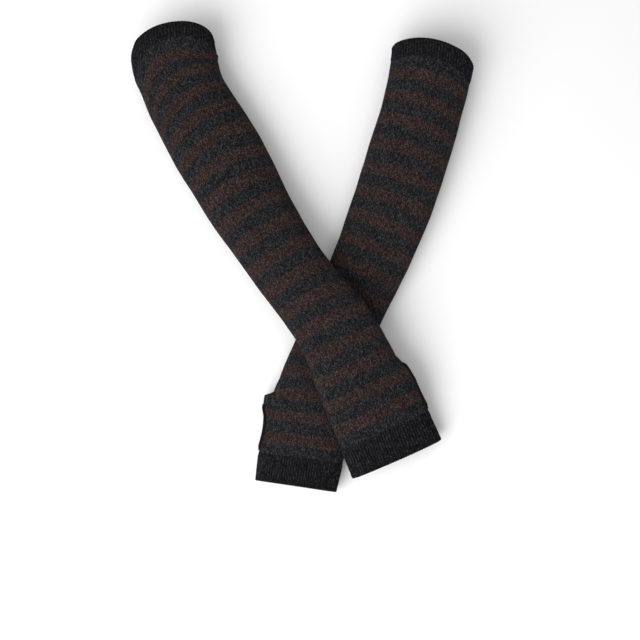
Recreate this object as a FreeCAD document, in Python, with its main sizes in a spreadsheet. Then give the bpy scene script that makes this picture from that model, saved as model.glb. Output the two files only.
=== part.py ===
import FreeCAD, Part
import math
import os

# A pair of long fingerless gloves, knitted as seamless tubes in black and brown bands.
# They lie crossed on a flat surface, backs of the hands up, the right glove over the left.
# +Z is up, the finger ends point towards -Y and the surface is z = 0. Sizes are millimetres.
#
# Each glove is an elliptical sleeve that follows a path through a few stations, from the
# rim above the elbow to the cuff at the knuckles. Its wall is two yarns: the coloured face
# bands outside and one plated ground yarn inside. Ribs and welts close both ends.

FABRIC = (
    ("face_yarn", 0.7),
    ("ground_yarn", 1.0),
    ("rib_rise", 0.6),
    ("welt_lip", 0.5),
    ("bartack_rise", 0.6),
    ("elastic_outside", 0.4),
    ("elastic_inside", 1.0),
    ("elastic_width", 0.9),
    ("welt_length", 3.0),
    ("upper_rib_end", 18.0),
    ("upper_cuff_length", 29.0),
    ("hand_rib_start", 20.0),
    ("hand_cuff_length", 29.0),
    ("band_length", 10.8),
    ("band_count", 33.0),
    ("elbow_band_count", 4.0),
    ("upper_forearm_band_count", 10.0),
    ("lower_forearm_band_count", 11.0),
    ("wrist_band_count", 4.0),
    ("rim_extension", 34.0),
    ("finger_extension", 14.0),
    ("cutter_radius", 58.0),
    ("hole_above_cuff_end", 51.0),
    ("hole_half_length", 20.5),
    ("hole_half_height", 6.5),
    ("hole_depth", 9.0),
    ("binding_width", 2.0),
    ("bartack_half_length", 1.6),
    ("bartack_half_height", 4.0),
)

# One row per station, from the rim to the fingers: the name, the centre's x and y, its height
# above the surface, the sleeve's half width and half height, and its roll in degrees, which is
# negative where the left edge is lifted.
STATION_FIELDS = ("x", "y", "height", "half_width", "half_height", "roll")
STATIONS = {
    "right": (
        ("rim", -100.0, 163.0, 19.8, 37.0, 19.0, 0.0),
        ("elbow", -91.5, 134.0, 18.8, 34.0, 18.0, 0.0),
        ("upper", -63.5, 83.0, 18.3, 35.0, 17.0, 0.0),
        ("middle", -34.5, 32.5, 22.5, 32.0, 15.5, 0.0),
        ("narrow", -2.0, -16.0, 31.5, 28.7, 13.5, 0.0),
        ("crossing", 26.5, -52.0, 37.7, 29.3, 12.0, 0.0),
        ("palm", 55.0, -105.0, 29.8, 37.5, 12.0, -12.0),
        ("knuckle", 67.5, -136.5, 21.8, 39.0, 11.5, -10.0),
        ("cuff", 76.5, -160.0, 18.0, 36.0, 11.5, -8.0),
    ),
    "left": (
        ("rim", 107.5, 162.0, 19.6, 33.2, 19.0, 0.0),
        ("elbow", 102.0, 134.0, 18.6, 32.0, 18.0, 0.0),
        ("upper", 91.0, 93.0, 17.6, 32.0, 17.0, 0.0),
        ("middle", 74.0, 39.0, 15.6, 31.0, 15.0, 0.0),
        ("narrow", 51.0, -18.0, 13.1, 29.0, 12.5, 0.0),
        ("crossing", 25.0, -77.0, 12.1, 30.0, 11.5, 0.0),
        ("palm", 7.0, -130.0, 12.6, 36.0, 12.0, 0.0),
        ("knuckle", 1.5, -161.0, 12.1, 35.5, 11.5, 0.0),
        ("cuff", -1.0, -181.5, 12.1, 32.2, 11.5, 0.0),
    ),
}

# How the courses lie. Slack is the share by which the knit is bunched up: at the rim it fades
# over the reach, and near the hand it is a dip about one place. Lean is how far the top of a
# course lies towards the rim, and skew how far its thumb side lies towards the fingers.
COURSES = {
    "right": (
        ("thumb_side", 1.0),
        ("rim_slack", 0.40),
        ("rim_slack_reach", 60.0),
        ("hand_slack", 0.05),
        ("hand_slack_from_end", 53.0),
        ("hand_slack_reach", 45.0),
        ("rim_bow", 7.0),
        ("rim_lean", 12.0),
        ("least_lean", 1.5),
        ("lean_reach", 75.0),
        ("skew", 6.4),
        ("skew_from_end", 138.0),
        ("skew_reach", 50.0),
    ),
    "left": (
        ("thumb_side", -1.0),
        ("rim_slack", 0.20),
        ("rim_slack_reach", 40.0),
        ("hand_slack", 0.19),
        ("hand_slack_from_end", 72.0),
        ("hand_slack_reach", 45.0),
        ("rim_bow", 4.0),
        ("rim_lean", 6.0),
        ("least_lean", 1.0),
        ("lean_reach", 60.0),
        ("skew", 4.0),
        ("skew_from_end", 77.0),
        ("skew_reach", 50.0),
    ),
}

UP = FreeCAD.Vector(0, 0, 1)
PATH_STEP = 1.0

doc = FreeCAD.newDocument("FingerlessGloves")
sheet = doc.addObject("Spreadsheet::Sheet", "Dimensions")
sheet_rows = []


def add_dimension(alias, number):
    """Put one driving dimension in the sheet, under its alias."""
    sheet_rows.append(alias)
    row = len(sheet_rows)
    sheet.set(f"A{row}", alias)
    sheet.set(f"B{row}", str(number))
    sheet.setAlias(f"B{row}", alias)


def dimension(alias):
    """Read a driving dimension as a plain number."""
    return float(sheet.get(alias))


def fill_sheet():
    for alias, number in FABRIC:
        add_dimension(alias, number)
    for side in STATIONS:
        for station in STATIONS[side]:
            for field, number in zip(STATION_FIELDS, station[1:]):
                add_dimension(f"{side}_{station[0]}_{field}", number)
        for alias, number in COURSES[side]:
            add_dimension(f"{side}_{alias}", number)
    doc.recompute()


fill_sheet()


class Sleeve:
    """The path of one glove's sleeve, and the frames and course planes along it."""

    def __init__(self, side):
        self.side = side
        self.names = [station[0] for station in STATIONS[side]]
        self.rows = [[self.value(f"{name}_{field}") for field in STATION_FIELDS] for name in self.names]
        points = [FreeCAD.Vector(row[0], row[1], row[2]) for row in self.rows]
        self.curve = Part.BSplineCurve()
        self.curve.interpolate(points)
        first = self.curve.FirstParameter
        self.marks = [self.curve.length(first, self.curve.parameter(point)) for point in points]
        self.length = self.marks[-1]
        self.measure_fabric()

    def value(self, alias):
        return dimension(f"{self.side}_{alias}")

    def along(self, distance, field):
        """A station's field at a distance along the path, between the stations on each side."""
        column = STATION_FIELDS.index(field)
        distance = min(max(distance, 0.0), self.length)
        for index in range(len(self.marks) - 1):
            if distance <= self.marks[index + 1]:
                break
        share = (distance - self.marks[index]) / (self.marks[index + 1] - self.marks[index])
        low = self.rows[index][column]
        high = self.rows[index + 1][column]
        return low + (high - low) * share

    def frame(self, distance):
        """The centre, and the directions across, up and along the sleeve, at a distance."""
        inside = min(max(distance, 0.0), self.length)
        parameter = self.curve.parameterAtDistance(inside, self.curve.FirstParameter)
        forward = self.curve.tangent(parameter)[0]
        centre = self.curve.value(parameter) + forward * (distance - inside)
        across = UP.cross(forward)
        across.normalize()
        upward = forward.cross(across)
        turn = FreeCAD.Rotation(forward, self.along(distance, "roll"))
        return centre, turn.multVec(across), turn.multVec(upward), forward

    def measure_fabric(self):
        """Add up how much fabric has gone by at each step, so that the whole knit fits the path."""
        rim_slack = self.value("rim_slack")
        rim_reach = self.value("rim_slack_reach")
        hand_slack = self.value("hand_slack")
        hand_at = self.length - self.value("hand_slack_from_end")
        hand_reach = self.value("hand_slack_reach")
        total = dimension("upper_cuff_length") + dimension("hand_cuff_length")
        total += dimension("band_length") * dimension("band_count")
        self.fabric = [0.0]
        steps = int(self.length / PATH_STEP)
        self.step = self.length / steps
        for index in range(steps):
            place = (index + 0.5) * self.step
            at_rim = 1.0 - rim_slack * math.exp(-place / rim_reach)
            at_hand = 1.0 - hand_slack * math.exp(-(((place - hand_at) / hand_reach) ** 2))
            self.fabric.append(self.fabric[-1] + self.step / (at_rim * at_hand))
        scale = total / self.fabric[-1]
        self.fabric = [length * scale for length in self.fabric]
        self.fabric_length = total

    def place_of(self, fabric):
        """The distance along the path of a course, from its place in the flat knit."""
        for index in range(len(self.fabric) - 1):
            if fabric <= self.fabric[index + 1]:
                break
        share = (fabric - self.fabric[index]) / (self.fabric[index + 1] - self.fabric[index])
        return (index + share) * self.step

    def course_placement(self, fabric):
        """The plane of a course, leaning at the top towards the rim and skewed at the thumb."""
        distance = self.place_of(fabric)
        fade = math.exp(-distance / self.value("lean_reach"))
        lean = self.value("least_lean") + self.value("rim_lean") * fade
        bow = self.value("rim_bow") * fade
        skew_at = self.length - self.value("skew_from_end")
        skew = math.exp(-(((distance - skew_at) / self.value("skew_reach")) ** 2))
        skew *= self.value("skew") * self.value("thumb_side")
        centre, across, upward, forward = self.frame(distance - bow)
        slope_up = lean / self.along(distance, "half_height")
        slope_across = skew / self.along(distance, "half_width")
        normal = forward + upward * slope_up - across * slope_across
        sideways = across + forward * slope_across
        upright = normal.cross(sideways)
        return FreeCAD.Placement(centre, FreeCAD.Rotation(sideways, upright, normal, "ZXY"))


def add_section(sleeve, name, prefix, offset, distance):
    """An ellipse across the sleeve at one station, grown by the offset expression."""
    ellipse = doc.addObject("Part::Ellipse", f"{prefix}_{name}")
    station = name.split("_")[0]
    width = f"Dimensions.{sleeve.side}_{station}_half_width {offset}"
    height = f"Dimensions.{sleeve.side}_{station}_half_height {offset}"
    ellipse.setExpression("MajorRadius", width)
    ellipse.setExpression("MinorRadius", height)
    centre, across, upward, forward = sleeve.frame(distance)
    ellipse.Placement = FreeCAD.Placement(centre, FreeCAD.Rotation(across, upward, forward, "ZXY"))
    return ellipse


def add_skin(sleeve, name, offset):
    """A solid loft along the whole sleeve, longer than the knit at both ends."""
    prefix = f"{sleeve.side}_{name}"
    sections = [add_section(sleeve, "rim_start", prefix, offset, -dimension("rim_extension"))]
    for station, mark in zip(sleeve.names, sleeve.marks):
        sections.append(add_section(sleeve, station, prefix, offset, mark))
    finger_end = sleeve.length + dimension("finger_extension")
    sections.append(add_section(sleeve, "cuff_end", prefix, offset, finger_end))
    loft = doc.addObject("Part::Loft", prefix)
    loft.Sections = sections
    loft.Solid = True
    loft.Ruled = False
    return loft


def add_cut(name, base, tool):
    cut = doc.addObject("Part::Cut", name)
    cut.Base = base
    cut.Tool = tool
    return cut


def add_common(name, base, tool):
    common = doc.addObject("Part::Common", name)
    common.Base = base
    common.Tool = tool
    return common


def add_group(name, members):
    group = doc.addObject("Part::Compound", name)
    group.Links = members
    return group


class Cutter:
    """Makes the slabs between two courses, which cut the sleeve's wall into its pieces."""

    def __init__(self, sleeve):
        self.sleeve = sleeve
        self.planes = {}

    def plane(self, fabric):
        """A square on the plane of one course, shared by the slabs on its two sides."""
        key = round(fabric, 3)
        if key not in self.planes:
            name = f"{self.sleeve.side}_course_{len(self.planes)}"
            square = doc.addObject("Part::RegularPolygon", name)
            square.Polygon = 4
            square.setExpression("Circumradius", "Dimensions.cutter_radius")
            square.Placement = self.sleeve.course_placement(fabric)
            self.planes[key] = square
        return self.planes[key]

    def slab(self, start, end):
        first = self.plane(start)
        last = self.plane(end)
        slab = doc.addObject("Part::Loft", f"{self.sleeve.side}_slab")
        slab.Sections = [first, last]
        slab.Solid = True
        slab.Ruled = True
        return slab

    def slabs(self, name, spans):
        """One tool made of the slabs of several spans of courses."""
        made = [self.slab(start, end) for start, end in spans]
        if len(made) == 1:
            return made[0]
        return add_group(f"{self.sleeve.side}_{name}_slabs", made)


def add_egg(sleeve, name, fabric, along, height, depth):
    """An ellipsoid on the thumb edge of the sleeve, its long axis along the sleeve."""
    distance = sleeve.place_of(fabric)
    centre, across, upward, forward = sleeve.frame(distance)
    edge = across * (sleeve.value("thumb_side") * sleeve.along(distance, "half_width"))
    egg = doc.addObject("Part::Ellipsoid", f"{sleeve.side}_{name}")
    egg.setExpression("Radius1", along)
    egg.setExpression("Radius2", depth)
    egg.setExpression("Radius3", height)
    turn = FreeCAD.Rotation(across, upward, forward, "ZXY")
    egg.Placement = FreeCAD.Placement(centre + edge, turn)
    return egg


def build_glove(side):
    """Make every piece of one glove and return them by name."""
    sleeve = Sleeve(side)
    cutter = Cutter(sleeve)
    pieces = {}

    face = "- Dimensions.face_yarn"
    wall = "- Dimensions.face_yarn - Dimensions.ground_yarn"
    rise = "+ Dimensions.rib_rise"
    tack = "+ Dimensions.rib_rise + Dimensions.bartack_rise"
    tack_skin = add_skin(sleeve, "tack_skin", tack)
    rib_skin = add_skin(sleeve, "rib_skin", rise)
    face_skin = add_skin(sleeve, "face_skin", "")
    ground_skin = add_skin(sleeve, "ground_skin", face)
    inner_skin = add_skin(sleeve, "inner_skin", wall)
    welt_inner = add_skin(sleeve, "welt_inner", f"{wall} - Dimensions.welt_lip")
    elastic_outer = add_skin(sleeve, "elastic_outer", "- Dimensions.elastic_outside")
    elastic_inner = add_skin(sleeve, "elastic_inner", "- Dimensions.elastic_inside")

    tack_tube = add_cut(f"{side}_tack_tube", tack_skin, rib_skin)
    welt_tube = add_cut(f"{side}_welt_tube", rib_skin, welt_inner)
    rib_tube = add_cut(f"{side}_rib_tube", rib_skin, inner_skin)
    face_tube = add_cut(f"{side}_face_tube", face_skin, ground_skin)
    ground_tube = add_cut(f"{side}_ground_tube", ground_skin, inner_skin)
    elastic_tube = add_cut(f"{side}_elastic_tube", elastic_outer, elastic_inner)

    knit_end = sleeve.fabric_length
    welt = dimension("welt_length")
    upper_rib_end = dimension("upper_rib_end")
    bands_start = dimension("upper_cuff_length")
    bands_end = knit_end - dimension("hand_cuff_length")
    hand_rib_start = knit_end - dimension("hand_rib_start")
    band = dimension("band_length")

    # The two cuffs: a rib with a turned welt at its edge and rings of elastic thread inside.
    elastic_half = dimension("elastic_width") / 2
    cuffs = (
        ("upper", 0.0, welt, welt, upper_rib_end),
        ("hand", knit_end - welt, knit_end, hand_rib_start, knit_end - welt),
    )
    for zone, welt_start, welt_end, rib_start, rib_end in cuffs:
        slab = cutter.slab(welt_start, welt_end)
        pieces[f"{zone}_welt"] = add_common(f"{side}_{zone}_welt", welt_tube, slab)
        spacing = (rib_end - rib_start) / 4
        rings = [rib_start + spacing * count for count in (1, 2, 3)]
        spans = [(ring - elastic_half, ring + elastic_half) for ring in rings]
        elastic_slabs = cutter.slabs(f"{zone}_elastic", spans)
        elastic = add_common(f"{side}_{zone}_elastic", elastic_tube, elastic_slabs)
        pieces[f"{zone}_elastic"] = elastic
        full_rib = add_common(f"{side}_{zone}_rib_full", rib_tube, cutter.slab(rib_start, rib_end))
        pieces[f"{zone}_rib"] = add_cut(f"{side}_{zone}_rib", full_rib, elastic)

    # The banded length. Bands are counted from the elbow, and the first is brown.
    elbow_end = int(dimension("elbow_band_count"))
    upper_end = elbow_end + int(dimension("upper_forearm_band_count"))
    forearm_end = upper_end + int(dimension("lower_forearm_band_count"))
    wrist_end = forearm_end + int(dimension("wrist_band_count"))
    hand_end = int(dimension("band_count"))
    edges = [bands_start + band * count for count in range(hand_end + 1)]
    zones = (
        ("elbow", 0, elbow_end),
        ("forearm", elbow_end, forearm_end),
        ("wrist", forearm_end, wrist_end),
        ("hand", wrist_end, hand_end),
    )
    for zone, first, last in zones:
        brown = [(edges[count], edges[count + 1]) for count in range(first, last) if count % 2 == 0]
        black = [(edges[count], edges[count + 1]) for count in range(first, last) if count % 2 == 1]
        if zone == "hand":
            black.append((bands_end, hand_rib_start))
        for colour, spans in (("brown", brown), ("black", black)):
            tool = cutter.slabs(f"{zone}_{colour}", spans)
            name = f"{zone}_{colour}_bands"
            pieces[name] = add_common(f"{side}_{name}", face_tube, tool)
    plain = cutter.slab(upper_rib_end, bands_start)
    pieces["upper_black_band"] = add_common(f"{side}_upper_black_band", face_tube, plain)

    # The ground yarn inside, in one length per zone and two along the forearm.
    grounds = (
        ("upper_ground", upper_rib_end, bands_start),
        ("elbow_ground", bands_start, edges[elbow_end]),
        ("forearm_ground_upper", edges[elbow_end], edges[upper_end]),
        ("forearm_ground_lower", edges[upper_end], edges[forearm_end]),
        ("wrist_ground", edges[forearm_end], edges[wrist_end]),
        ("hand_ground", edges[wrist_end], hand_rib_start),
    )
    for name, start, end in grounds:
        pieces[name] = add_common(f"{side}_{name}", ground_tube, cutter.slab(start, end))

    # The thumb hole on the edge of the hand, its overlocked binding and a bartack at each end.
    hole_at = knit_end - dimension("hole_above_cuff_end")
    grown = "+ Dimensions.binding_width"
    along = "Dimensions.hole_half_length"
    height = "Dimensions.hole_half_height"
    depth = "Dimensions.hole_depth"
    hole = add_egg(sleeve, "thumb_hole", hole_at, along, height, depth)
    sizes = [f"{size} {grown}" for size in (along, height, depth)]
    rim = add_egg(sleeve, "thumb_rim", hole_at, *sizes)
    ring = add_cut(f"{side}_thumb_ring", rim, hole)
    pieces["thumb_binding"] = add_common(f"{side}_thumb_binding", welt_tube, ring)
    round_hole = ("wrist_brown_bands", "wrist_ground", "hand_brown_bands", "hand_black_bands", "hand_ground")
    for name in round_hole:
        whole = pieces[name]
        whole.Label = f"{side}_{name}_whole"
        pieces[name] = add_cut(f"{side}_{name}_cut", whole, rim)
    reach = (dimension("hole_half_length") + dimension("binding_width") / 2) / 0.95
    half_length = "Dimensions.bartack_half_length"
    half_height = "Dimensions.bartack_half_height"
    tacks = []
    for end, shift in (("upper", -reach), ("lower", reach)):
        name = f"tack_{end}"
        tacks.append(add_egg(sleeve, name, hole_at + shift, half_length, half_height, half_height))
    tack_group = add_group(f"{side}_tacks", tacks)
    pieces["thumb_bartacks"] = add_common(f"{side}_thumb_bartacks", tack_tube, tack_group)

    named = {}
    for name, piece in pieces.items():
        piece.Label = f"{side}_{name}"
        named[piece.Label] = piece
    return named


nodes = {}
for glove_side in STATIONS:
    nodes.update(build_glove(glove_side))
doc.recompute()

faults = [item.Name for item in doc.Objects if "Invalid" in item.State or "Error" in item.State]
for label, node in nodes.items():
    if node.Shape.isNull() or not node.Shape.isValid() or not node.Shape.Solids:
        faults.append(label)
if faults:
    raise RuntimeError(f"these objects did not build: {faults}")

os.makedirs("parts", exist_ok=True)
for label, node in nodes.items():
    node.Shape.exportStep(f"parts/{label}.step")
    solids = len(node.Shape.Solids)
    print(f"{label}: {solids} solids, {node.Shape.Volume:.0f} cubic mm")
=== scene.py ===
import math

import bpy
import numpy as np
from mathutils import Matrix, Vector


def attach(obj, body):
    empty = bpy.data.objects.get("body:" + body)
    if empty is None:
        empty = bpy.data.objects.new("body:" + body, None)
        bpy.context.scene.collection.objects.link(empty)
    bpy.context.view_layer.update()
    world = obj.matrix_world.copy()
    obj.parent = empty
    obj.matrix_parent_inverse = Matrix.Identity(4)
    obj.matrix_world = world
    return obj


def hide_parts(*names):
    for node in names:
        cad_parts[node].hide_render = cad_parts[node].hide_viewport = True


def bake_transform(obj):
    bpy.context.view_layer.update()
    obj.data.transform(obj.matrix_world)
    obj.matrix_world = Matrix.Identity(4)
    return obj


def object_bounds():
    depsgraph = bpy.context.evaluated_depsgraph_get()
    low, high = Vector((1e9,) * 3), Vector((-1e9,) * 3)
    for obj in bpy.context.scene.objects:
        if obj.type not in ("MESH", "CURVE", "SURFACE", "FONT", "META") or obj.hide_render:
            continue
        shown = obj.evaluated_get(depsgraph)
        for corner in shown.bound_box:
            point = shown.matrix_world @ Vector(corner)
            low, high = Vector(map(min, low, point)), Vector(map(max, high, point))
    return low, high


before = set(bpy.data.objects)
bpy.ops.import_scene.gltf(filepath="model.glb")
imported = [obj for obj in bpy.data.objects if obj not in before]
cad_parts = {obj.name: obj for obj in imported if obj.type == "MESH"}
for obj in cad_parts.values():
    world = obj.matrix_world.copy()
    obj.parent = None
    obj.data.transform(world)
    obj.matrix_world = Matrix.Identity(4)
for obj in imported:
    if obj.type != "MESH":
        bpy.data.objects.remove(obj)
cad_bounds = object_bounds()

# A pair of long knitted gloves. Each is a sleeve of fine knit in black and brown bands, with a
# ribbed cuff and a welt at both ends and a bound thumb hole. The sleeves' paths, widths and
# heights are read from the rings of the CAD bands. The knit's own sizes are in millimetres, and
# places along it run from the rim above the elbow to the fingers.
MM = 0.001

# Lengths of flat fabric, and the thickness of the wall.
WELT = 3.0
UPPER_RIB_END = 18.0
UPPER_CUFF = 29.0
BAND = 10.8
BANDS = 33
HAND_CUFF = 29.0
HAND_RIB = 20.0
FABRIC = UPPER_CUFF + BAND * BANDS + HAND_CUFF
SPLIT = UPPER_CUFF + BAND * 14
WELT_OVERLAP = 0.6
RIB_RISE = 0.6
WALL = 1.7

# The gauge: stitches round the tube, and the length of a course.
WALES = 144
COURSE = 0.9
COURSES_A_BAND = round(BAND / COURSE)

# How finely the knit's meshes are divided: columns round the tube and the length of a row.
SLEEVE_COLUMNS = 216
SLEEVE_ROW = 1.3
RIB_COLUMNS = WALES * 3
RIB_ROW = 0.9

# The thumb hole, from the cuff's end. Its lips flare, and the knit near them is pushed aside.
HOLE_FROM_END = 51.0
HOLE_HALF_LENGTH = 19.5
HOLE_HALF_OPENING = 6.0
HOLE_ROUNDNESS = 0.6
LIP_REACH = 17.0
LIP_FLARE_REACH = 8.0
LIP_FLARE = 2.2

# The thread over the hole's edge, and the bars of satin stitches across its ends.
BINDING_RADIUS = 1.1
BINDING_TURNS = 54
BINDING_RELIEF = 0.36
BINDING_STEPS = 540
BINDING_SIDES = 14
TACK_THREADS = 7
TACK_SPACING = 0.42
TACK_GAP = 0.4
TACK_HALF_LENGTH = 3.6
TACK_RISE = 0.55
TACK_SINK = 0.1
TACK_STEPS = 11
TACK_RADIUS = 0.3

# The rings of covered elastic in a rib.
ELASTIC_RINGS = 3
ELASTIC_DEPTH = 0.75
ELASTIC_RADIUS = 0.35
ELASTIC_STEPS = 120

# The underside is fuller than an ellipse where it lies on something, and a soft sleeve is
# slightly uneven: the ripples' height, their lengths and the lengths they drift round in.
SAG = 0.4
RIPPLE = 0.22
SLOW_RIPPLE, SLOW_DRIFT = 11.0, 37.0
QUICK_RIPPLE, QUICK_DRIFT, QUICK_SHARE = 4.3, 23.0, 0.5

# How far the sleeve's tables go past the fabric's two ends, and their numbers of rows.
FABRIC_MARGIN = 2.0
FABRIC_ROWS = 4000
BEFORE_RIM = 45.0
PAST_FINGERS = 25.0
PATH_ROWS = 1000

# How the knit lies on each glove. Left and right are as seen from above, thumb is 1 where the
# thumb is on the right, and moves along the glove count towards the fingers.
#   lean, least_lean, lean_reach: the top of a course leans to the rim, and less with distance
#   rim_slide, slide_reach: all of a course moves, and less with distance from the rim
#   bows: place on the path, then the move of both edges, and how much more the right edge moves
#     and how much less the left one
#   skew, skew_from_end: the move of the thumb edge at the wrist
#   slides: place on the fabric, then the move of a whole course
#   edges: place on the path, then the moves of the left and the right edge outward
SKEW_REACH = 50.0
GLOVES = {
    "right": {
        "thumb": 1.0,
        "lean": 12.0,
        "least_lean": 1.5,
        "lean_reach": 75.0,
        "bows": (
            (0, 3.0, -7.0), (24, 9.0, -10.4), (33, 8.3, -9.6), (40, 7.3, -8.1), (57, 5.5, -4.4),
            (74, 5.3, -2.0), (91, 4.2, 0.0), (112, 3.6, 0.6), (133, 1.9, 0.0), (180, 0.5, 0.0),
            (390, 0.3, 0.0),
        ),
        "rim_slide": 3.5,
        "slide_reach": 22.0,
        "skew": 6.4,
        "skew_from_end": 138.0,
        "slides": (
            (0, 0.0), (34, 0.2), (56, -2.3), (78, -5.0), (99, -7.4), (121, -8.0), (164, -8.2),
            (207, -7.0), (250, -6.0), (272, -6.4), (315, -8.0), (358, -8.0), (385, -7.0),
            (400, -4.0), (414, 0.0),
        ),
        "edges": (
            (-15, -8.0, -5.0), (0, -6.5, -4.0), (7, -6.0, -1.6), (17, -5.4, 1.8), (34, -5.2, 1.4),
            (48, -3.6, 0.6), (69, -2.3, 0.2), (92, -0.8, 0.0), (103, -0.5, 0.0),
            (114, -1.2, 0.0), (150, -1.1, 0.0), (183, -1.6, 0.0), (207, -0.4, 0.0),
            (243, 1.4, 0.0), (262, 1.2, 0.0), (280, 1.0, -1.8), (292, 1.0, -3.2),
            (306, 1.0, -3.4), (317, 0.8, 0.6), (328, 0.4, 3.3), (343, 0.0, 3.5),
            (363, 0.0, 3.1), (382, 0.0, 4.2),
        ),
    },
    "left": {
        "thumb": -1.0,
        "lean": 6.0,
        "least_lean": 1.0,
        "lean_reach": 60.0,
        "bows": ((0, 4.0, 4.0), (45, 2.0, 2.0), (100, 0.8, 0.8), (180, 0.3, 0.0), (380, 0.3, 0.0)),
        "rim_slide": 4.2,
        "slide_reach": 60.0,
        "skew": 4.0,
        "skew_from_end": 77.0,
        "slides": (
            (0, 0.0), (34, -0.8), (78, -2.2), (164, -2.2), (207, -3.0), (229, -4.8), (272, -6.4),
            (337, -7.0), (358, -6.4), (385, -5.0), (400, -3.0), (414, 0.0),
        ),
        "edges": (
            (-15, -3.0, -4.0), (0, 0.0, -0.6), (20, 0.2, -0.6), (60, -0.4, 0.0), (110, 0.6, 0.0),
            (150, 1.0, 0.0), (200, 0.0, -0.6), (240, -1.0, -0.6), (271, -3.2, 0.0),
            (288, -4.7, 0.0), (297, -3.4, 0.0), (301, 3.2, 0.0), (308, 2.6, 0.0),
            (316, 0.8, 0.0), (340, 0.4, 0.0), (366, 0.2, -0.8),
        ),
    },
}

# The knit's colours: each yarn from darkest to lightest stitch, and painted shade between stitches.
BLACK = (0.0052, 0.0050, 0.0062, 1.0)
BLACK_LIGHT = (0.0790, 0.0790, 0.0890, 1.0)
BROWN = (0.0160, 0.0094, 0.0088, 1.0)
BROWN_LIGHT = (0.1230, 0.0850, 0.0790, 1.0)
# Painted shade, also used in the rib grooves, over the welts and on the inside.
PAINTED_SHADE = (0.0012, 0.0011, 0.0012, 1.0)
THREAD = (0.0032, 0.0030, 0.0036, 1.0)
ELASTIC = (0.012, 0.012, 0.013, 1.0)

# A stitch, in wales and courses: how its two legs slant, and each leg's middle and half width.
LEG_SLANT = -1.1
LEG_MIDDLE = 0.25
LEG_HALF_WIDTH = 0.26

# Shares of light flecks, of streaks along the wales, of painted shade in the gaps and in the rib
# grooves, the share of painted shade over the welts, and the heights of stitches and of fuzz on
# them.
FLECKS = 0.85
RIB_FLECKS = 0.72
STREAKS = 0.4
DARKEST = 0.12
GAP_SHADE_SHARE = 0.75
GROOVE_SHADE_SHARE = 0.3
WELT_SHADE_SHARE = 0.55
STITCH_HEIGHT = 0.00045
FUZZ = 0.5

# The camera, straight above: its height, the height it is framed at, and its frame's width and
# its place from the pair's middle as shares of the pair's width. All in metres.
CAMERA_HEIGHT = 1.1
FRAMED_HEIGHT = 0.018
FRAME_WIDTH = 1.804
RIGHT_OF_MIDDLE = 0.058
BELOW_MIDDLE = 0.177


def ring_places():
    """The CAD nodes whose rings mark the sleeve, with each ring's middle and its rise."""
    middles = [UPPER_CUFF + BAND * (count + 0.5) for count in range(BANDS)]
    zones = (("elbow", 0, 4), ("forearm", 4, 25), ("wrist", 25, 29))
    places = [("upper_welt", [WELT / 2], RIB_RISE)]
    places.append(("upper_rib", [(WELT + UPPER_RIB_END) / 2], RIB_RISE))
    places.append(("upper_black_band", [(UPPER_RIB_END + UPPER_CUFF) / 2], 0.0))
    for zone, first, last in zones:
        for colour, odd in (("brown", 0), ("black", 1)):
            chosen = [middles[count] for count in range(first, last) if count % 2 == odd]
            places.append((f"{zone}_{colour}_bands", chosen, 0.0))
    places.append(("hand_rib", [FABRIC - (HAND_RIB + WELT) / 2], RIB_RISE))
    places.append(("hand_welt", [FABRIC - WELT / 2], RIB_RISE))
    return places


def rings_of(node):
    """The separate rings of a CAD node: each one's corners, and its triangles' middles and areas."""
    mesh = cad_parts[node].data
    mesh.calc_loop_triangles()
    points = np.empty(len(mesh.vertices) * 3)
    mesh.vertices.foreach_get("co", points)
    points = points.reshape(-1, 3) / MM
    corners = np.empty(len(mesh.loop_triangles) * 3, int)
    mesh.loop_triangles.foreach_get("vertices", corners)
    keys, joined = np.unique(np.round(points, 3), axis=0, return_inverse=True)
    triangles = joined.reshape(-1)[corners].reshape(-1, 3)
    label = np.arange(len(keys))
    while True:
        before = label.copy()
        least = label[triangles].min(axis=1)
        for corner in range(3):
            np.minimum.at(label, triangles[:, corner], least)
        label = label[label]
        if np.array_equal(before, label):
            break
    found = []
    for ring in np.unique(label[triangles[:, 0]]):
        mine = triangles[label[triangles[:, 0]] == ring]
        a, b, c = keys[mine[:, 0]], keys[mine[:, 1]], keys[mine[:, 2]]
        area = np.linalg.norm(np.cross(b - a, c - a), axis=1)
        found.append((keys[label == ring], (a + b + c) / 3, area))
    return found


def smooth(marks, values, times):
    """Values at marks, drawn half way towards the line between their neighbours a few times."""
    share = ((marks[1:-1] - marks[:-2]) / (marks[2:] - marks[:-2]))[:, None]
    for _ in range(times):
        between = values[:-2] * (1 - share) + values[2:] * share
        values[1:-1] = (values[1:-1] + between) / 2
    return values


def spline(marks, values, at):
    """Smooth values between marks, with straight runs beyond the ends."""
    slope = np.gradient(values, marks, axis=0)
    inside = np.clip(at, marks[0], marks[-1])
    index = np.clip(np.searchsorted(marks, inside) - 1, 0, len(marks) - 2)
    span = (marks[index + 1] - marks[index])[:, None]
    t = (inside - marks[index])[:, None] / span
    first = (2 * t**3 - 3 * t**2 + 1) * values[index] + (t**3 - 2 * t**2 + t) * span * slope[index]
    second = (3 * t**2 - 2 * t**3) * values[index + 1] + (t**3 - t**2) * span * slope[index + 1]
    beyond = (at - inside)[:, None]
    return first + second + beyond * np.where(beyond < 0, slope[0], slope[-1])


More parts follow.
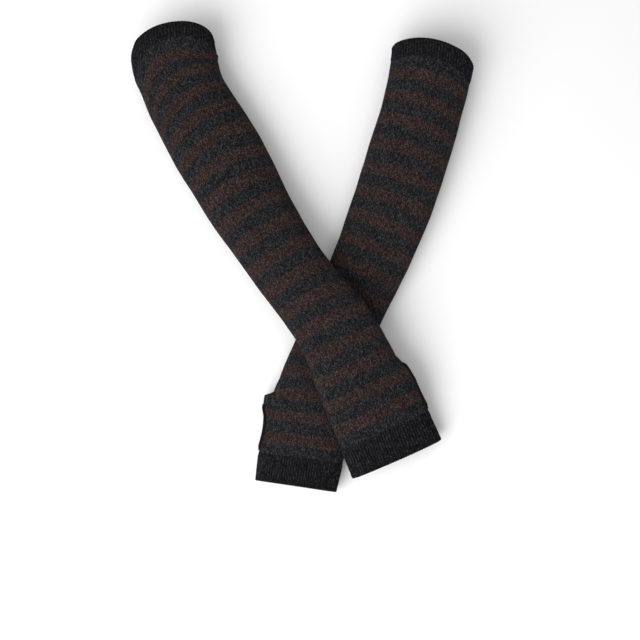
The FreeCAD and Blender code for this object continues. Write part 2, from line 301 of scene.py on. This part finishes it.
class Sleeve:
    """One glove's sleeve: places along the fabric and round it become points in millimetres."""

    def __init__(self, side):
        self.side = side
        self.lay = GLOVES[side]
        self.read_rings()
        self.make_table()

    def read_rings(self):
        """Each ring's middle, directions and half sizes, from the rim to the fingers."""
        rows = []
        for part, middles, rise in ring_places():
            rings = rings_of(f"{self.side}_{part}")
            centres = [np.average(middle, axis=0, weights=area) for _, middle, area in rings]
            order = np.argsort([-centre[1] for centre in centres])
            for place, index in zip(sorted(middles), order):
                rows.append((place, centres[index], rings[index], rise))
        rows.sort(key=lambda row: row[0])
        self.marks = np.array([row[0] for row in rows])
        centres = np.array([row[1] for row in rows])
        forward = np.gradient(centres, self.marks, axis=0)
        forward /= np.linalg.norm(forward, axis=1)[:, None]
        sizes = []
        for (_, centre, (corners, middles, area), rise), ahead in zip(rows, forward):
            across, up = level_directions(ahead)
            flat = np.stack([(middles - centre) @ across, (middles - centre) @ up], axis=1)
            spread = np.cov(flat.T, aweights=area)
            turn = 0.5 * math.atan2(2 * spread[0, 1], spread[0, 0] - spread[1, 1])
            across, up = turned(across, up, turn)
            width = (corners - centre) @ across
            height = (corners - centre) @ up
            sizes.append((np.ptp(width) / 2 - rise, np.ptp(height) / 2 - rise, turn))
        self.rows = smooth(self.marks, np.hstack([centres, np.array(sizes)]), 2)

    def make_table(self):
        """Positions, half sizes and directions at about every half millimetre of path."""
        fine = np.linspace(-FABRIC_MARGIN, FABRIC + FABRIC_MARGIN, FABRIC_ROWS)
        values = spline(self.marks, self.rows, fine)
        steps = np.linalg.norm(np.diff(values[:, :3], axis=0), axis=1)
        path = np.concatenate([[0.0], np.cumsum(steps)])
        path -= np.interp(0.0, fine, path)
        self.fine = fine
        self.path = path
        self.length = np.interp(FABRIC, fine, path)
        hole = np.interp(FABRIC - HOLE_FROM_END, fine, path)
        self.hole_at = np.interp(hole, self.path_at(fine), fine)
        self.table_at = np.linspace(-BEFORE_RIM, self.length + PAST_FINGERS, PATH_ROWS)
        values = spline(path, values, self.table_at)
        ahead = np.gradient(values[:, :3], self.table_at, axis=0)
        ahead /= np.linalg.norm(ahead, axis=1)[:, None]
        across, up = level_directions(ahead)
        before_rim = self.table_at[:, None] < 0
        values[:, 3:] = np.where(before_rim, self.rows[0, 3:], values[:, 3:])
        self.centre = values[:, :3]
        self.half_width = values[:, 3]
        self.half_height = values[:, 4]
        self.across, self.up = turned(across, up, values[:, 5:6])

    def look_up(self, table, place):
        """Values of one of the tables at places on the path."""
        if table.ndim == 1:
            return np.interp(place, self.table_at, table)
        columns = [np.interp(place, self.table_at, table[:, axis]) for axis in range(3)]
        return np.stack(columns, axis=-1)

    def path_at(self, fabric):
        """The place on the path of a place along the fabric, which is gathered in places."""
        at, slide = np.array(self.lay["slides"], float).T
        return np.interp(fabric, self.fine, self.path) + np.interp(fabric, at, slide)

    def point(self, fabric, angle, offset):
        """Points of the skin, from places along the fabric, angles round it and offsets out."""
        lay = self.lay
        side = np.cos(angle)
        lift = np.sin(angle)
        place = self.path_at(fabric)
        fade = np.exp(-np.clip(place, 0, None) / lay["lean_reach"])
        lean = lay["least_lean"] + lay["lean"] * fade
        wrist = (place - self.length + lay["skew_from_end"]) / SKEW_REACH
        at, bow, edge_skew = np.array(lay["bows"], float).T
        bow = np.interp(place, at, bow)
        skew = np.interp(place, at, edge_skew) + lay["thumb"] * lay["skew"] * np.exp(-(wrist**2))
        slide = lay["rim_slide"] * np.exp(-np.clip(place, 0, None) / lay["slide_reach"])
        shift = slide - lean * lift + bow * side**2 + skew * side
        place = place + shift
        offset = offset + ripple(place, angle)
        width = self.look_up(self.half_width, place) + offset
        height = self.look_up(self.half_height, place) + offset
        lift = np.where(lift < 0, lift * (1 + SAG * (1 + lift)), lift)
        centre = self.look_up(self.centre, place)
        across = self.look_up(self.across, place)
        up = self.look_up(self.up, place)
        at, left, right = np.array(lay["edges"], float).T
        left = np.interp(place, at, left)
        right = np.interp(place, at, right)
        reach = width * side + np.where(side < 0, -left, right) * side**2
        return centre + across * reach[..., None] + up * (height * lift)[..., None]

    def angles(self, fabric, arc):
        """Angles at shares of the way round from the thumb edge, and the whole way round."""
        place = self.path_at(fabric)
        width = self.look_up(self.half_width, place)
        height = self.look_up(self.half_height, place)
        start = 0.0 if self.lay["thumb"] > 0 else math.pi
        fine = start + np.linspace(0, 2 * math.pi, 361)
        run = np.stack([width * np.cos(fine), height * np.sin(fine)], axis=1)
        round_it = np.concatenate([[0.0], np.cumsum(np.linalg.norm(np.diff(run, axis=0), axis=1))])
        return np.interp(arc * round_it[-1], round_it, fine), round_it[-1]


def ripple(place, angle):
    """The slight unevenness of a soft sleeve, in millimetres."""
    slow = np.sin(place / SLOW_RIPPLE + 2 * np.sin(angle + 0.4))
    slow = slow * np.sin(2 * angle + place / SLOW_DRIFT)
    quick = np.sin(place / QUICK_RIPPLE + 3 * np.cos(angle))
    quick = quick * np.sin(3 * angle - place / QUICK_DRIFT)
    return RIPPLE * (slow + QUICK_SHARE * quick)


def level_directions(ahead):
    """The level direction across a path and the one up from it."""
    ahead = np.asarray(ahead)
    across = np.cross((0.0, 0.0, 1.0), ahead)
    across = across / np.linalg.norm(across, axis=-1, keepdims=True)
    up = np.cross(ahead, across)
    return across, up


def turned(across, up, turn):
    """The two directions, turned about the path."""
    return across * np.cos(turn) + up * np.sin(turn), up * np.cos(turn) - across * np.sin(turn)


def make_mesh(name, points, faces, knit):
    """A mesh object from points in millimetres, with each face corner's place in the knit."""
    mesh = bpy.data.meshes.new(name)
    mesh.from_pydata([tuple(p) for p in np.asarray(points) * MM], [], faces)
    layer = mesh.uv_layers.new(name="knit")
    layer.data.foreach_set("uv", np.asarray(knit, np.float32).reshape(-1))
    mesh.validate()
    mesh.polygons.foreach_set("use_smooth", [True] * len(mesh.polygons))
    piece = bpy.data.objects.new(name, mesh)
    bpy.context.scene.collection.objects.link(piece)
    return piece


def rib_relief(arc):
    """The height of the ribs round the tube, from 0 in a groove to 1 on a rib."""
    wave = 0.5 - 0.5 * np.cos(2 * math.pi * arc * WALES / 2)
    return wave**0.7


def shell(sleeve, name, start, end, columns, row_length, relief=None, hole=False):
    """A closed length of the tube with its outside, its inside and its two edges."""
    rows = max(2, round((end - start) / row_length)) + 1
    fabric = np.linspace(start, end, rows)
    arc = np.linspace(0, 1, columns + 1)
    hole_at = sleeve.hole_at
    layers = []
    for offset, inside in ((0.0, False), (-WALL, True)):
        layer = np.empty((rows, columns + 1, 3))
        for index, place in enumerate(fabric):
            angle, round_it = sleeve.angles(place, arc)
            out = np.full(columns + 1, offset)
            lip = np.zeros(columns + 1)
            if hole:
                along = np.clip(1 - ((place - hole_at) / HOLE_HALF_LENGTH) ** 2, 0, 1)
                opening = HOLE_HALF_OPENING * along**HOLE_ROUNDNESS
                near = np.minimum(arc, 1 - arc) * round_it
                close = np.clip(1 - near / LIP_REACH, 0, 1) ** 2
                moved = np.where(arc < 0.5, 1, -1) * opening * close / round_it
                angle, _ = sleeve.angles(place, np.clip(arc + moved, 0, 1))
                lip = np.clip(1 - near / LIP_FLARE_REACH, 0, 1) ** 2
                lip = lip * LIP_FLARE * along**0.5
            if relief is not None:
                out = out + relief(place, arc, inside)
            points = sleeve.point(np.full(columns + 1, place), angle, out)
            across = sleeve.look_up(sleeve.across, sleeve.path_at(place))
            layer[index] = points + across * (sleeve.lay["thumb"] * lip)[:, None]
        layers.append(layer)
    return join_layers(sleeve, name, fabric, arc, layers, hole_at if hole else None)


def join_layers(sleeve, name, fabric, arc, layers, hole_at):
    """Faces over the outside and the inside, round the two edges and along the hole's lips.

    The last column is the first one again, except where the hole is open.
    """
    rows, columns = layers[0].shape[0], layers[0].shape[1] - 1
    open_row = np.zeros(rows, bool)
    if hole_at is not None:
        open_row = np.abs(fabric - hole_at) < HOLE_HALF_LENGTH
    points = []
    index = np.empty((2, rows, columns + 1), int)
    for layer in range(2):
        for row in range(rows):
            first = len(points)
            points.extend(layers[layer][row][:columns])
            index[layer, row, :columns] = range(first, first + columns)
            index[layer, row, columns] = first
            if open_row[row]:
                index[layer, row, columns] = len(points)
                points.append(layers[layer][row][columns])
    wale = arc * WALES
    course = (fabric - UPPER_CUFF) / COURSE
    faces = []
    knit = []
    flip = sleeve.lay["thumb"] < 0

    def add(corners, places):
        if flip:
            corners, places = corners[::-1], places[::-1]
        faces.append(corners)
        knit.extend(places)

    for row in range(rows - 1):
        for column in range(columns):
            near, far = wale[column], wale[column + 1]
            low, high = course[row], course[row + 1]
            quad = [(row, column), (row + 1, column), (row + 1, column + 1), (row, column + 1)]
            places = [(near, low), (near, high), (far, high), (far, low)]
            add([index[0, r, c] for r, c in quad], places)
            add([index[1, r, c] for r, c in quad][::-1], places[::-1])
    for row, outward in ((0, False), (rows - 1, True)):
        for column in range(columns):
            corners = [index[0, row, column], index[1, row, column]]
            corners += [index[1, row, column + 1], index[0, row, column + 1]]
            place = [(wale[column], course[row])] * 2 + [(wale[column + 1], course[row])] * 2
            if outward:
                add(corners, place)
            else:
                add(corners[::-1], place[::-1])
    for row in range(rows - 1):
        if not (open_row[row] or open_row[row + 1]):
            continue
        for column in (0, columns):
            corners = [index[0, row, column], index[1, row, column]]
            corners += [index[1, row + 1, column], index[0, row + 1, column]]
            place = [(wale[column], course[row])] * 2 + [(wale[column], course[row + 1])] * 2
            if column == 0:
                corners, place = corners[::-1], place[::-1]
            add(corners, place)
    piece = make_mesh(name, points, faces, knit)
    # The outside and the inside take turns in the grid's faces; the edges have the outside's knit.
    inside_faces = [polygon.index % 2 == 1 for polygon in piece.data.polygons]
    grid_faces = 2 * (rows - 1) * columns
    material = np.where(np.arange(len(faces)) < grid_faces, inside_faces, 0).astype(np.int32)
    piece.data.polygons.foreach_set("material_index", material)
    return piece


def tube(name, path, radius, sides, closed=False, ridges=None):
    """A round cord along a path of points, its radius changed by the ridges if there are any."""
    path = np.asarray(path, float)
    count = len(path)
    if closed:
        ahead = np.roll(path, -1, axis=0) - np.roll(path, 1, axis=0)
    else:
        ahead = np.gradient(path, axis=0)
    ahead /= np.linalg.norm(ahead, axis=1)[:, None]
    nearly_up = (0.3, 0.2, 1.0)
    normal = np.cross(ahead[0], nearly_up)
    normals = []
    for step in ahead:
        normal = normal - step * np.dot(normal, step)
        normal /= np.linalg.norm(normal)
        normals.append(normal)
    normals = np.array(normals)
    if closed:
        end = normals[-1] - ahead[0] * np.dot(normals[-1], ahead[0])
        end /= np.linalg.norm(end)
        twist = math.atan2(np.dot(np.cross(normals[0], end), ahead[0]), np.dot(normals[0], end))
        turn = -twist * np.arange(count) / count
        other = np.cross(ahead, normals)
        normals = normals * np.cos(turn)[:, None] + other * np.sin(turn)[:, None]
    other = np.cross(ahead, normals)
    around = np.arange(sides) * 2 * math.pi / sides
    along = np.arange(count) / count
    swell = np.ones((count, sides))
    if ridges is not None:
        swell = ridges(along[:, None], around[None, :])
    reach = radius * swell
    points = path[:, None] + normals[:, None] * (reach * np.cos(around))[..., None]
    points = points + other[:, None] * (reach * np.sin(around))[..., None]
    faces = []
    knit = []
    for row in range(count if closed else count - 1):
        below = (row + 1) % count
        for side in range(sides):
            beside = (side + 1) % sides
            corners = [row * sides + side, row * sides + beside]
            corners += [below * sides + beside, below * sides + side]
            faces.append(corners)
            knit.extend([(side, row), (side + 1, row), (side + 1, row + 1), (side, row + 1)])
    if not closed:
        faces.append(list(range(sides))[::-1])
        faces.append([(count - 1) * sides + side for side in range(sides)])
        knit.extend([(0, 0)] * (2 * sides))
    return make_mesh(name, points.reshape(-1, 3), faces, knit)


def join(name, pieces):
    """Several meshes as one object."""
    points, faces, knit = [], [], []
    for piece in pieces:
        first = len(points)
        mesh = piece.data
        points.extend(np.array(vertex.co) / MM for vertex in mesh.vertices)
        faces.extend([first + corner for corner in polygon.vertices] for polygon in mesh.polygons)
        knit.extend(tuple(place.uv) for place in mesh.uv_layers["knit"].data)
        bpy.data.objects.remove(piece)
    return make_mesh(name, points, faces, knit)


def welt(sleeve, name, edge, inward):
    """The turned edge of a cuff: a soft rolled band, narrowed a little between the ribs."""
    # The roll's section: how far in from the edge, and how far out from the skin.
    profile = (
        (3.1, -1.9), (2.0, -2.15), (0.9, -2.05), (0.15, -1.7), (-0.15, -1.1), (-0.25, -0.5),
        (-0.1, 0.05), (0.35, 0.42), (1.0, 0.58), (1.9, 0.6), (2.7, 0.45), (3.1, 0.05),
    )
    outer_scallop, inner_scallop, edge_scallop = 0.22, 0.22 * 0.3, 0.18
    columns = RIB_COLUMNS
    arc = np.linspace(0, 1, columns + 1)[:-1]
    scallop = rib_relief(arc) - 0.5
    points = []
    for along, offset in profile:
        place = edge + inward * along
        angle, _ = sleeve.angles(place, arc)
        out = offset + scallop * (outer_scallop if offset > -1.0 else inner_scallop)
        shift = -edge_scallop * scallop if along < 0.5 else 0.0
        points.append(sleeve.point(place + inward * shift + np.zeros(columns), angle, out))
    rings = len(profile)
    faces = []
    knit = []
    for ring in range(rings):
        below = (ring + 1) % rings
        for column in range(columns):
            beside = (column + 1) % columns
            corners = [ring * columns + column, below * columns + column]
            corners += [below * columns + beside, ring * columns + beside]
            near, far = column * WALES / columns, (column + 1) * WALES / columns
            places = [(near, ring), (near, ring + 1), (far, ring + 1), (far, ring)]
            if (inward > 0) == (sleeve.lay["thumb"] > 0):
                corners, places = corners[::-1], places[::-1]
            faces.append(corners)
            knit.extend(places)
    return make_mesh(name, np.concatenate(points), faces, knit)


def lip_path(sleeve, steps):
    """The closed line along the two lips of the thumb hole, in the middle of the wall."""
    hole_at = sleeve.hole_at
    line = []
    for step in range(steps):
        turn = 2 * math.pi * step / steps
        place = hole_at + HOLE_HALF_LENGTH * math.cos(turn)
        lip = math.sin(turn)
        opening = HOLE_HALF_OPENING * abs(lip) ** (2 * HOLE_ROUNDNESS)
        _, round_it = sleeve.angles(place, np.array([0.0]))
        share = opening / round_it
        arc = share if lip > 0 else 1 - share
        angle, _ = sleeve.angles(place, np.array([arc]))
        point = sleeve.point(np.array([place]), angle, np.array([-WALL / 2]))[0]
        across = sleeve.look_up(sleeve.across, sleeve.path_at(place))
        line.append(point + across * sleeve.lay["thumb"] * LIP_FLARE * abs(lip))
    return np.array(line)


def overlock(along, around):
    """Slanted turns of thread over the edge."""
    turn = np.abs(np.cos(math.pi * BINDING_TURNS * along + around / 2))
    return 1 + BINDING_RELIEF * turn**0.8


def bartacks(sleeve, name):
    """A short bar of close satin stitches across each end of the thumb hole."""
    hole_at = sleeve.hole_at
    threads = []
    for end in (-1, 1):
        for count in range(TACK_THREADS):
            beyond = TACK_GAP + TACK_SPACING * (count - TACK_THREADS // 2)
            place = hole_at + end * (HOLE_HALF_LENGTH + beyond)
            line = []
            for step in np.linspace(-1, 1, TACK_STEPS):
                _, round_it = sleeve.angles(place, np.array([0.0]))
                share = TACK_HALF_LENGTH * step / round_it
                angle, _ = sleeve.angles(place, np.array([share % 1.0]))
                rise = TACK_RISE * (1 - step**4) - TACK_SINK
                line.append(sleeve.point(np.array([place]), angle, np.array([rise]))[0])
            threads.append(tube(f"thread_{end}_{count}", line, TACK_RADIUS, 6))
    return join(name, threads)


def elastic(sleeve, name, start, end):
    """Rings of covered elastic inside a rib."""
    arc = np.linspace(0, 1, ELASTIC_STEPS + 1)[:-1]
    rings = []
    for count in range(1, ELASTIC_RINGS + 1):
        place = start + (end - start) * count / (ELASTIC_RINGS + 1)
        angle, _ = sleeve.angles(place, arc)
        along = place + np.zeros(ELASTIC_STEPS)
        line = sleeve.point(along, angle, np.full(ELASTIC_STEPS, -ELASTIC_DEPTH))
        rings.append(tube(f"ring_{count}", line, ELASTIC_RADIUS, 6, closed=True))
    return join(name, rings)


class Nodes:
    """A short way to write a material's nodes."""

    def __init__(self, name):
        self.material = bpy.data.materials.new(name)
        self.material.use_nodes = True
        self.tree = self.material.node_tree
        self.shader = self.tree.nodes["Principled BSDF"]

    def add(self, kind, inputs=(), output=0, **settings):
        node = self.tree.nodes.new(kind)
        for key, value in settings.items():
            setattr(node, key, value)
        for key, value in dict(inputs).items():
            if isinstance(value, bpy.types.NodeSocket):
                self.tree.links.new(value, node.inputs[key])
            else:
                node.inputs[key].default_value = value
        return node.outputs[output]

    def math(self, operation, first, second=0.0, third=0.0):
        return self.add("ShaderNodeMath", {0: first, 1: second, 2: third}, operation=operation)

    def mix(self, share, first, second):
        inputs = {"Factor": share, 6: first, 7: second}
        return self.add("ShaderNodeMix", inputs, output=2, data_type="RGBA")

    def noise(self, vector, scale, detail=2.0, roughness=0.5):
        inputs = {"Vector": vector, "Scale": scale, "Detail": detail, "Roughness": roughness}
        return self.add("ShaderNodeTexNoise", inputs)

    def combine(self, x, y, z=0.0):
        return self.add("ShaderNodeCombineXYZ", {0: x, 1: y, 2: z})


def stitches(nodes):
    """Places along wales and courses, each stitch's cell and its height above the cloth."""
    place = nodes.add("ShaderNodeUVMap", uv_map="knit")
    split = nodes.add("ShaderNodeSeparateXYZ", {0: place}).node
    wale, course = split.outputs[0], split.outputs[1]
    middle = nodes.math("SUBTRACT", nodes.math("FRACT", wale), 0.5)
    off = nodes.math("ABSOLUTE", middle)
    slanted = nodes.math("ADD", course, nodes.math("MULTIPLY", off, LEG_SLANT))
    cell_course = nodes.math("FLOOR", slanted)
    cell_wale = nodes.math("FLOOR", nodes.math("MULTIPLY", wale, 2.0))
    leg = nodes.math("DIVIDE", nodes.math("SUBTRACT", off, LEG_MIDDLE), LEG_HALF_WIDTH)
    leg_height = nodes.math("SUBTRACT", 1.0, nodes.math("MULTIPLY", leg, leg))
    inside = nodes.math("SUBTRACT", nodes.math("MULTIPLY", nodes.math("FRACT", slanted), 2.0), 1.0)
    ends = nodes.math("POWER", nodes.math("ABSOLUTE", inside), 2.5)
    turn_height = nodes.math("SUBTRACT", 1.0, ends)
    product = nodes.math("MULTIPLY", nodes.math("MAXIMUM", leg_height, 0.0), turn_height)
    height = nodes.math("POWER", nodes.math("MAXIMUM", product, 0.0), 0.5)
    return {
        "wale": wale, "course": course, "cell_wale": cell_wale, "cell_course": cell_course,
        "height": height,
    }


def knit_material(name, banded=False, ribbed=False, inside=False, shade_share=0.0):
    """Fine plain knit: heathered stitches with painted shade in the gaps, in black or in black and
    brown.
    """
    nodes = Nodes(name)
    stitch = stitches(nodes)
    cell = nodes.combine(stitch["cell_wale"], stitch["cell_course"])
    speckle = nodes.add("ShaderNodeTexWhiteNoise", {"Vector": cell}, noise_dimensions="2D")
    stretched = nodes.combine(stitch["wale"], nodes.math("MULTIPLY", stitch["course"], 0.16))
    streak = nodes.math("MULTIPLY", nodes.noise(stretched, 0.9, 3.0), STREAKS)
    fleck_share = RIB_FLECKS if ribbed else FLECKS
    fleck = nodes.math("MULTIPLY", nodes.math("POWER", speckle, 2.5), fleck_share)
    heather = nodes.math("SUBTRACT", nodes.math("ADD", fleck, streak), DARKEST)
    heather = nodes.math("POWER", nodes.math("MAXIMUM", heather, 0.0), 1.3)
    heather = nodes.add("ShaderNodeClamp", {0: heather})
    black = nodes.mix(heather, BLACK, BLACK_LIGHT)
    colour = black
    if banded:
        brown = nodes.mix(heather, BROWN, BROWN_LIGHT)
        band = nodes.math("FLOOR", nodes.math("DIVIDE", stitch["cell_course"], COURSES_A_BAND))
        odd = nodes.math("MODULO", band, 2.0)
        is_brown = nodes.math("COMPARE", odd, 0.0, 0.5)
        below = nodes.math("GREATER_THAN", stitch["cell_course"], -0.5)
        above = nodes.math("LESS_THAN", stitch["cell_course"], COURSES_A_BAND * BANDS - 0.5)
        is_brown = nodes.math("MULTIPLY", is_brown, nodes.math("MULTIPLY", below, above))
        colour = nodes.mix(is_brown, black, brown)
    if inside:
        # Painted shade inside the tube: the inside is darker than the yarn, and without bands.
        colour = nodes.mix(heather, PAINTED_SHADE, BLACK)
    if shade_share:
        # Painted shade over the whole of a welt.
        colour = nodes.mix(shade_share, colour, PAINTED_SHADE)
    # Painted shade between the stitches' legs, darker where a stitch is lower.
    gap_shade = nodes.math("SUBTRACT", 1.0, stitch["height"])
    gap_shade = nodes.math("MULTIPLY", nodes.math("POWER", gap_shade, 2.0), GAP_SHADE_SHARE)
    colour = nodes.mix(gap_shade, colour, PAINTED_SHADE)
    if ribbed:
        # Painted shade in the rib grooves.
        wave = nodes.math("COSINE", nodes.math("MULTIPLY", stitch["wale"], math.pi))
        groove = nodes.math("MULTIPLY", nodes.math("ADD", wave, 1.0), GROOVE_SHADE_SHARE)
        colour = nodes.mix(groove, colour, PAINTED_SHADE)
    nodes.tree.links.new(colour, nodes.shader.inputs["Base Color"])
    fuzz = nodes.noise(nodes.combine(stitch["wale"], stitch["course"]), 3.1, 4.0, 0.7)
    height = nodes.math("ADD", stitch["height"], nodes.math("MULTIPLY", fuzz, FUZZ))
    relief = {"Height": height, "Distance": STITCH_HEIGHT, "Strength": 1.0}
    bump = nodes.add("ShaderNodeBump", relief)
    nodes.tree.links.new(bump, nodes.shader.inputs["Normal"])
    nodes.shader.inputs["Roughness"].default_value = 0.95
    nodes.shader.inputs["Specular IOR Level"].default_value = 0.08
    return nodes.material


def thread_material(name, colour, turns):
    """Twisted thread with fine slanted plies."""
    nodes = Nodes(name)
    place = nodes.add("ShaderNodeUVMap", uv_map="knit")
    plies = {"Vector": place, "Scale": turns, "Distortion": 1.5, "Detail": 2.0}
    ply = nodes.add("ShaderNodeTexWave", plies)
    grain = nodes.noise(nodes.add("ShaderNodeTexCoord", output=3), 900.0, 3.0)
    share = nodes.math("MULTIPLY", nodes.math("ADD", ply.node.outputs[1], grain), 0.35)
    # Painted highlight: the thread is lighter where its plies and grain stand highest.
    ply_highlight = tuple(min(1.0, part * 2.4) for part in colour[:3]) + (1.0,)
    nodes.tree.links.new(nodes.mix(share, colour, ply_highlight), nodes.shader.inputs["Base Color"])
    bump = nodes.add("ShaderNodeBump", {"Height": share, "Distance": 0.0002, "Strength": 0.7})
    nodes.tree.links.new(bump, nodes.shader.inputs["Normal"])
    nodes.shader.inputs["Roughness"].default_value = 0.9
    nodes.shader.inputs["Specular IOR Level"].default_value = 0.1
    return nodes.material


banded_knit = knit_material("banded_knit", banded=True)
inner_knit = knit_material("inner_knit", inside=True)
ribbed_knit = knit_material("ribbed_knit", ribbed=True)
# The welts' knit is darkened all over with painted shade.
welt_knit = knit_material("welt_knit", shade_share=WELT_SHADE_SHARE)
binding_thread = thread_material("binding_thread", THREAD, 0.6)
elastic_cover = thread_material("elastic_cover", ELASTIC, 0.4)


def dress(piece, slot, *materials):
    """Give a piece its materials; the slot is not used."""
    for material in materials:
        piece.data.materials.append(material)


def rib_of(joined):
    """The relief of a rib, fading out where it is joined to the plain knit."""
    fade_length, groove, rise, inner_rise = 2.5, 0.3, 0.9, 0.25

    def relief(place, arc, inside):
        fade = np.clip(abs(place - joined) / fade_length, 0, 1)
        wave = rib_relief(arc)
        if inside:
            return fade * inner_rise * (wave - 0.5)
        return fade * (-groove + rise * wave)

    return relief


def build_glove(side):
    """One glove's pieces: all but the sleeve's stretches tied to the bodies they move with, and the
    CAD nodes they stand for hidden.
    """
    sleeve = Sleeve(side)
    hand_rib_start = FABRIC - HAND_RIB
    divided = (SLEEVE_COLUMNS, SLEEVE_ROW)
    upper = shell(sleeve, f"{side}_sleeve_upper", UPPER_RIB_END, SPLIT, *divided)
    lower = shell(sleeve, f"{side}_sleeve_lower", SPLIT, hand_rib_start, *divided, hole=True)
    dress(upper, "knit_brown", banded_knit, inner_knit)
    dress(lower, "knit_brown", banded_knit, inner_knit)

    upper_rib = shell(
        sleeve, f"{side}_upper_rib_knit", WELT - WELT_OVERLAP, UPPER_RIB_END,
        RIB_COLUMNS, RIB_ROW, relief=rib_of(UPPER_RIB_END),
    )
    hand_rib = shell(
        sleeve, f"{side}_hand_rib_knit", hand_rib_start, FABRIC - WELT + WELT_OVERLAP,
        RIB_COLUMNS, RIB_ROW, relief=rib_of(hand_rib_start),
    )
    dress(upper_rib, "rib_black", ribbed_knit, inner_knit)
    dress(hand_rib, "rib_black", ribbed_knit, inner_knit)

    upper_welt = welt(sleeve, f"{side}_upper_welt_roll", 0.0, 1)
    hand_welt = welt(sleeve, f"{side}_hand_welt_roll", FABRIC, -1)
    dress(upper_welt, "welt_black", welt_knit)
    dress(hand_welt, "welt_black", welt_knit)

    binding = tube(
        f"{side}_thumb_overlock", lip_path(sleeve, BINDING_STEPS), BINDING_RADIUS, BINDING_SIDES,
        closed=True, ridges=overlock,
    )
    tacks = bartacks(sleeve, f"{side}_thumb_tacks")
    dress(binding, "binding_thread", binding_thread)
    dress(tacks, "binding_thread", binding_thread)

    upper_elastic = elastic(sleeve, f"{side}_upper_elastic_rings", WELT, UPPER_RIB_END)
    hand_elastic = elastic(sleeve, f"{side}_hand_elastic_rings", hand_rib_start, FABRIC - WELT)
    dress(upper_elastic, "elastic", elastic_cover)
    dress(hand_elastic, "elastic", elastic_cover)

    # The sleeve's two stretches are fixed where they lie; the other pieces go with the upper arm or
    # the hand.
    forearm, hand, arm = f"{side}_forearm", f"{side}_hand", f"{side}_upper"
    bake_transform(upper)
    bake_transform(lower)
    for piece in (upper_rib, upper_welt, upper_elastic):
        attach(piece, arm)
    for piece in (hand_rib, hand_welt, hand_elastic, binding, tacks):
        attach(piece, hand)

    def names(*parts):
        return [f"{side}_{part}" for part in parts]

    elbow_nodes = ["elbow_brown_bands", "elbow_black_bands", "elbow_ground"]
    elbow_nodes += ["upper_black_band", "upper_ground"]
    forearm_nodes = ["forearm_brown_bands", "forearm_black_bands"]
    wrist_nodes = ["wrist_brown_bands", "wrist_black_bands", "wrist_ground"]
    hand_nodes = ["hand_brown_bands", "hand_black_bands", "hand_ground"]
    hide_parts(*names(*elbow_nodes, *forearm_nodes, "forearm_ground_upper"))
    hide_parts(*names(*wrist_nodes, *hand_nodes, "forearm_ground_lower"))
    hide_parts(*names("upper_rib"))
    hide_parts(*names("hand_rib"))
    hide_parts(*names("upper_welt"))
    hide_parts(*names("hand_welt"))
    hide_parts(*names("upper_elastic"))
    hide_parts(*names("hand_elastic"))
    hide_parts(*names("thumb_binding"))
    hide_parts(*names("thumb_bartacks"))


def add_floor():
    """A plain pale floor, which isn't part of the object."""
    bpy.ops.mesh.primitive_plane_add(size=8.0)
    floor = bpy.context.object
    floor.name = "floor"
    nodes = Nodes("pale_floor")
    nodes.shader.inputs["Base Color"].default_value = (0.9, 0.9, 0.9, 1.0)
    nodes.shader.inputs["Roughness"].default_value = 0.9
    nodes.shader.inputs["Specular IOR Level"].default_value = 0.1
    floor.data.materials.append(nodes.material)


def add_light(name, place, size, power):
    """A soft round light that faces the middle of the floor."""
    data = bpy.data.lights.new(name, "AREA")
    data.shape = "DISK"
    data.size = size
    data.energy = power
    light = bpy.data.objects.new(name, data)
    bpy.context.scene.collection.objects.link(light)
    light.location = place
    light.rotation_euler = (Vector((0, 0, 0)) - Vector(place)).to_track_quat("-Z", "Y").to_euler()


def add_camera():
    """Straight above, with the pair a little up and to the left in the frame."""
    low, high = cad_bounds
    middle = (Vector(low) + Vector(high)) / 2
    width = high[0] - low[0]
    data = bpy.data.cameras.new("camera")
    data.sensor_width = 36.0
    camera = bpy.data.objects.new("camera", data)
    bpy.context.scene.collection.objects.link(camera)
    camera.location.x = middle.x + RIGHT_OF_MIDDLE * width
    camera.location.y = middle.y - BELOW_MIDDLE * width
    camera.location.z = CAMERA_HEIGHT
    frame_width = FRAME_WIDTH * width
    data.lens = data.sensor_width * (CAMERA_HEIGHT - FRAMED_HEIGHT) / frame_width
    bpy.context.scene.camera = camera


def add_world():
    """Even white light from all round."""
    world = bpy.data.worlds.new("studio")
    world.use_nodes = True
    world.node_tree.nodes["Background"].inputs[0].default_value = (1.0, 1.0, 1.0, 1.0)
    world.node_tree.nodes["Background"].inputs[1].default_value = 0.42
    bpy.context.scene.world = world


bpy.context.scene.view_settings.view_transform = "Standard"
add_camera()
for glove in GLOVES:
    build_glove(glove)
add_floor()
add_world()
add_light("key", place=(-0.75, -0.7, 0.95), size=1.6, power=22.0)
add_light("fill", place=(-0.2, -0.2, 1.8), size=3.0, power=15.0)
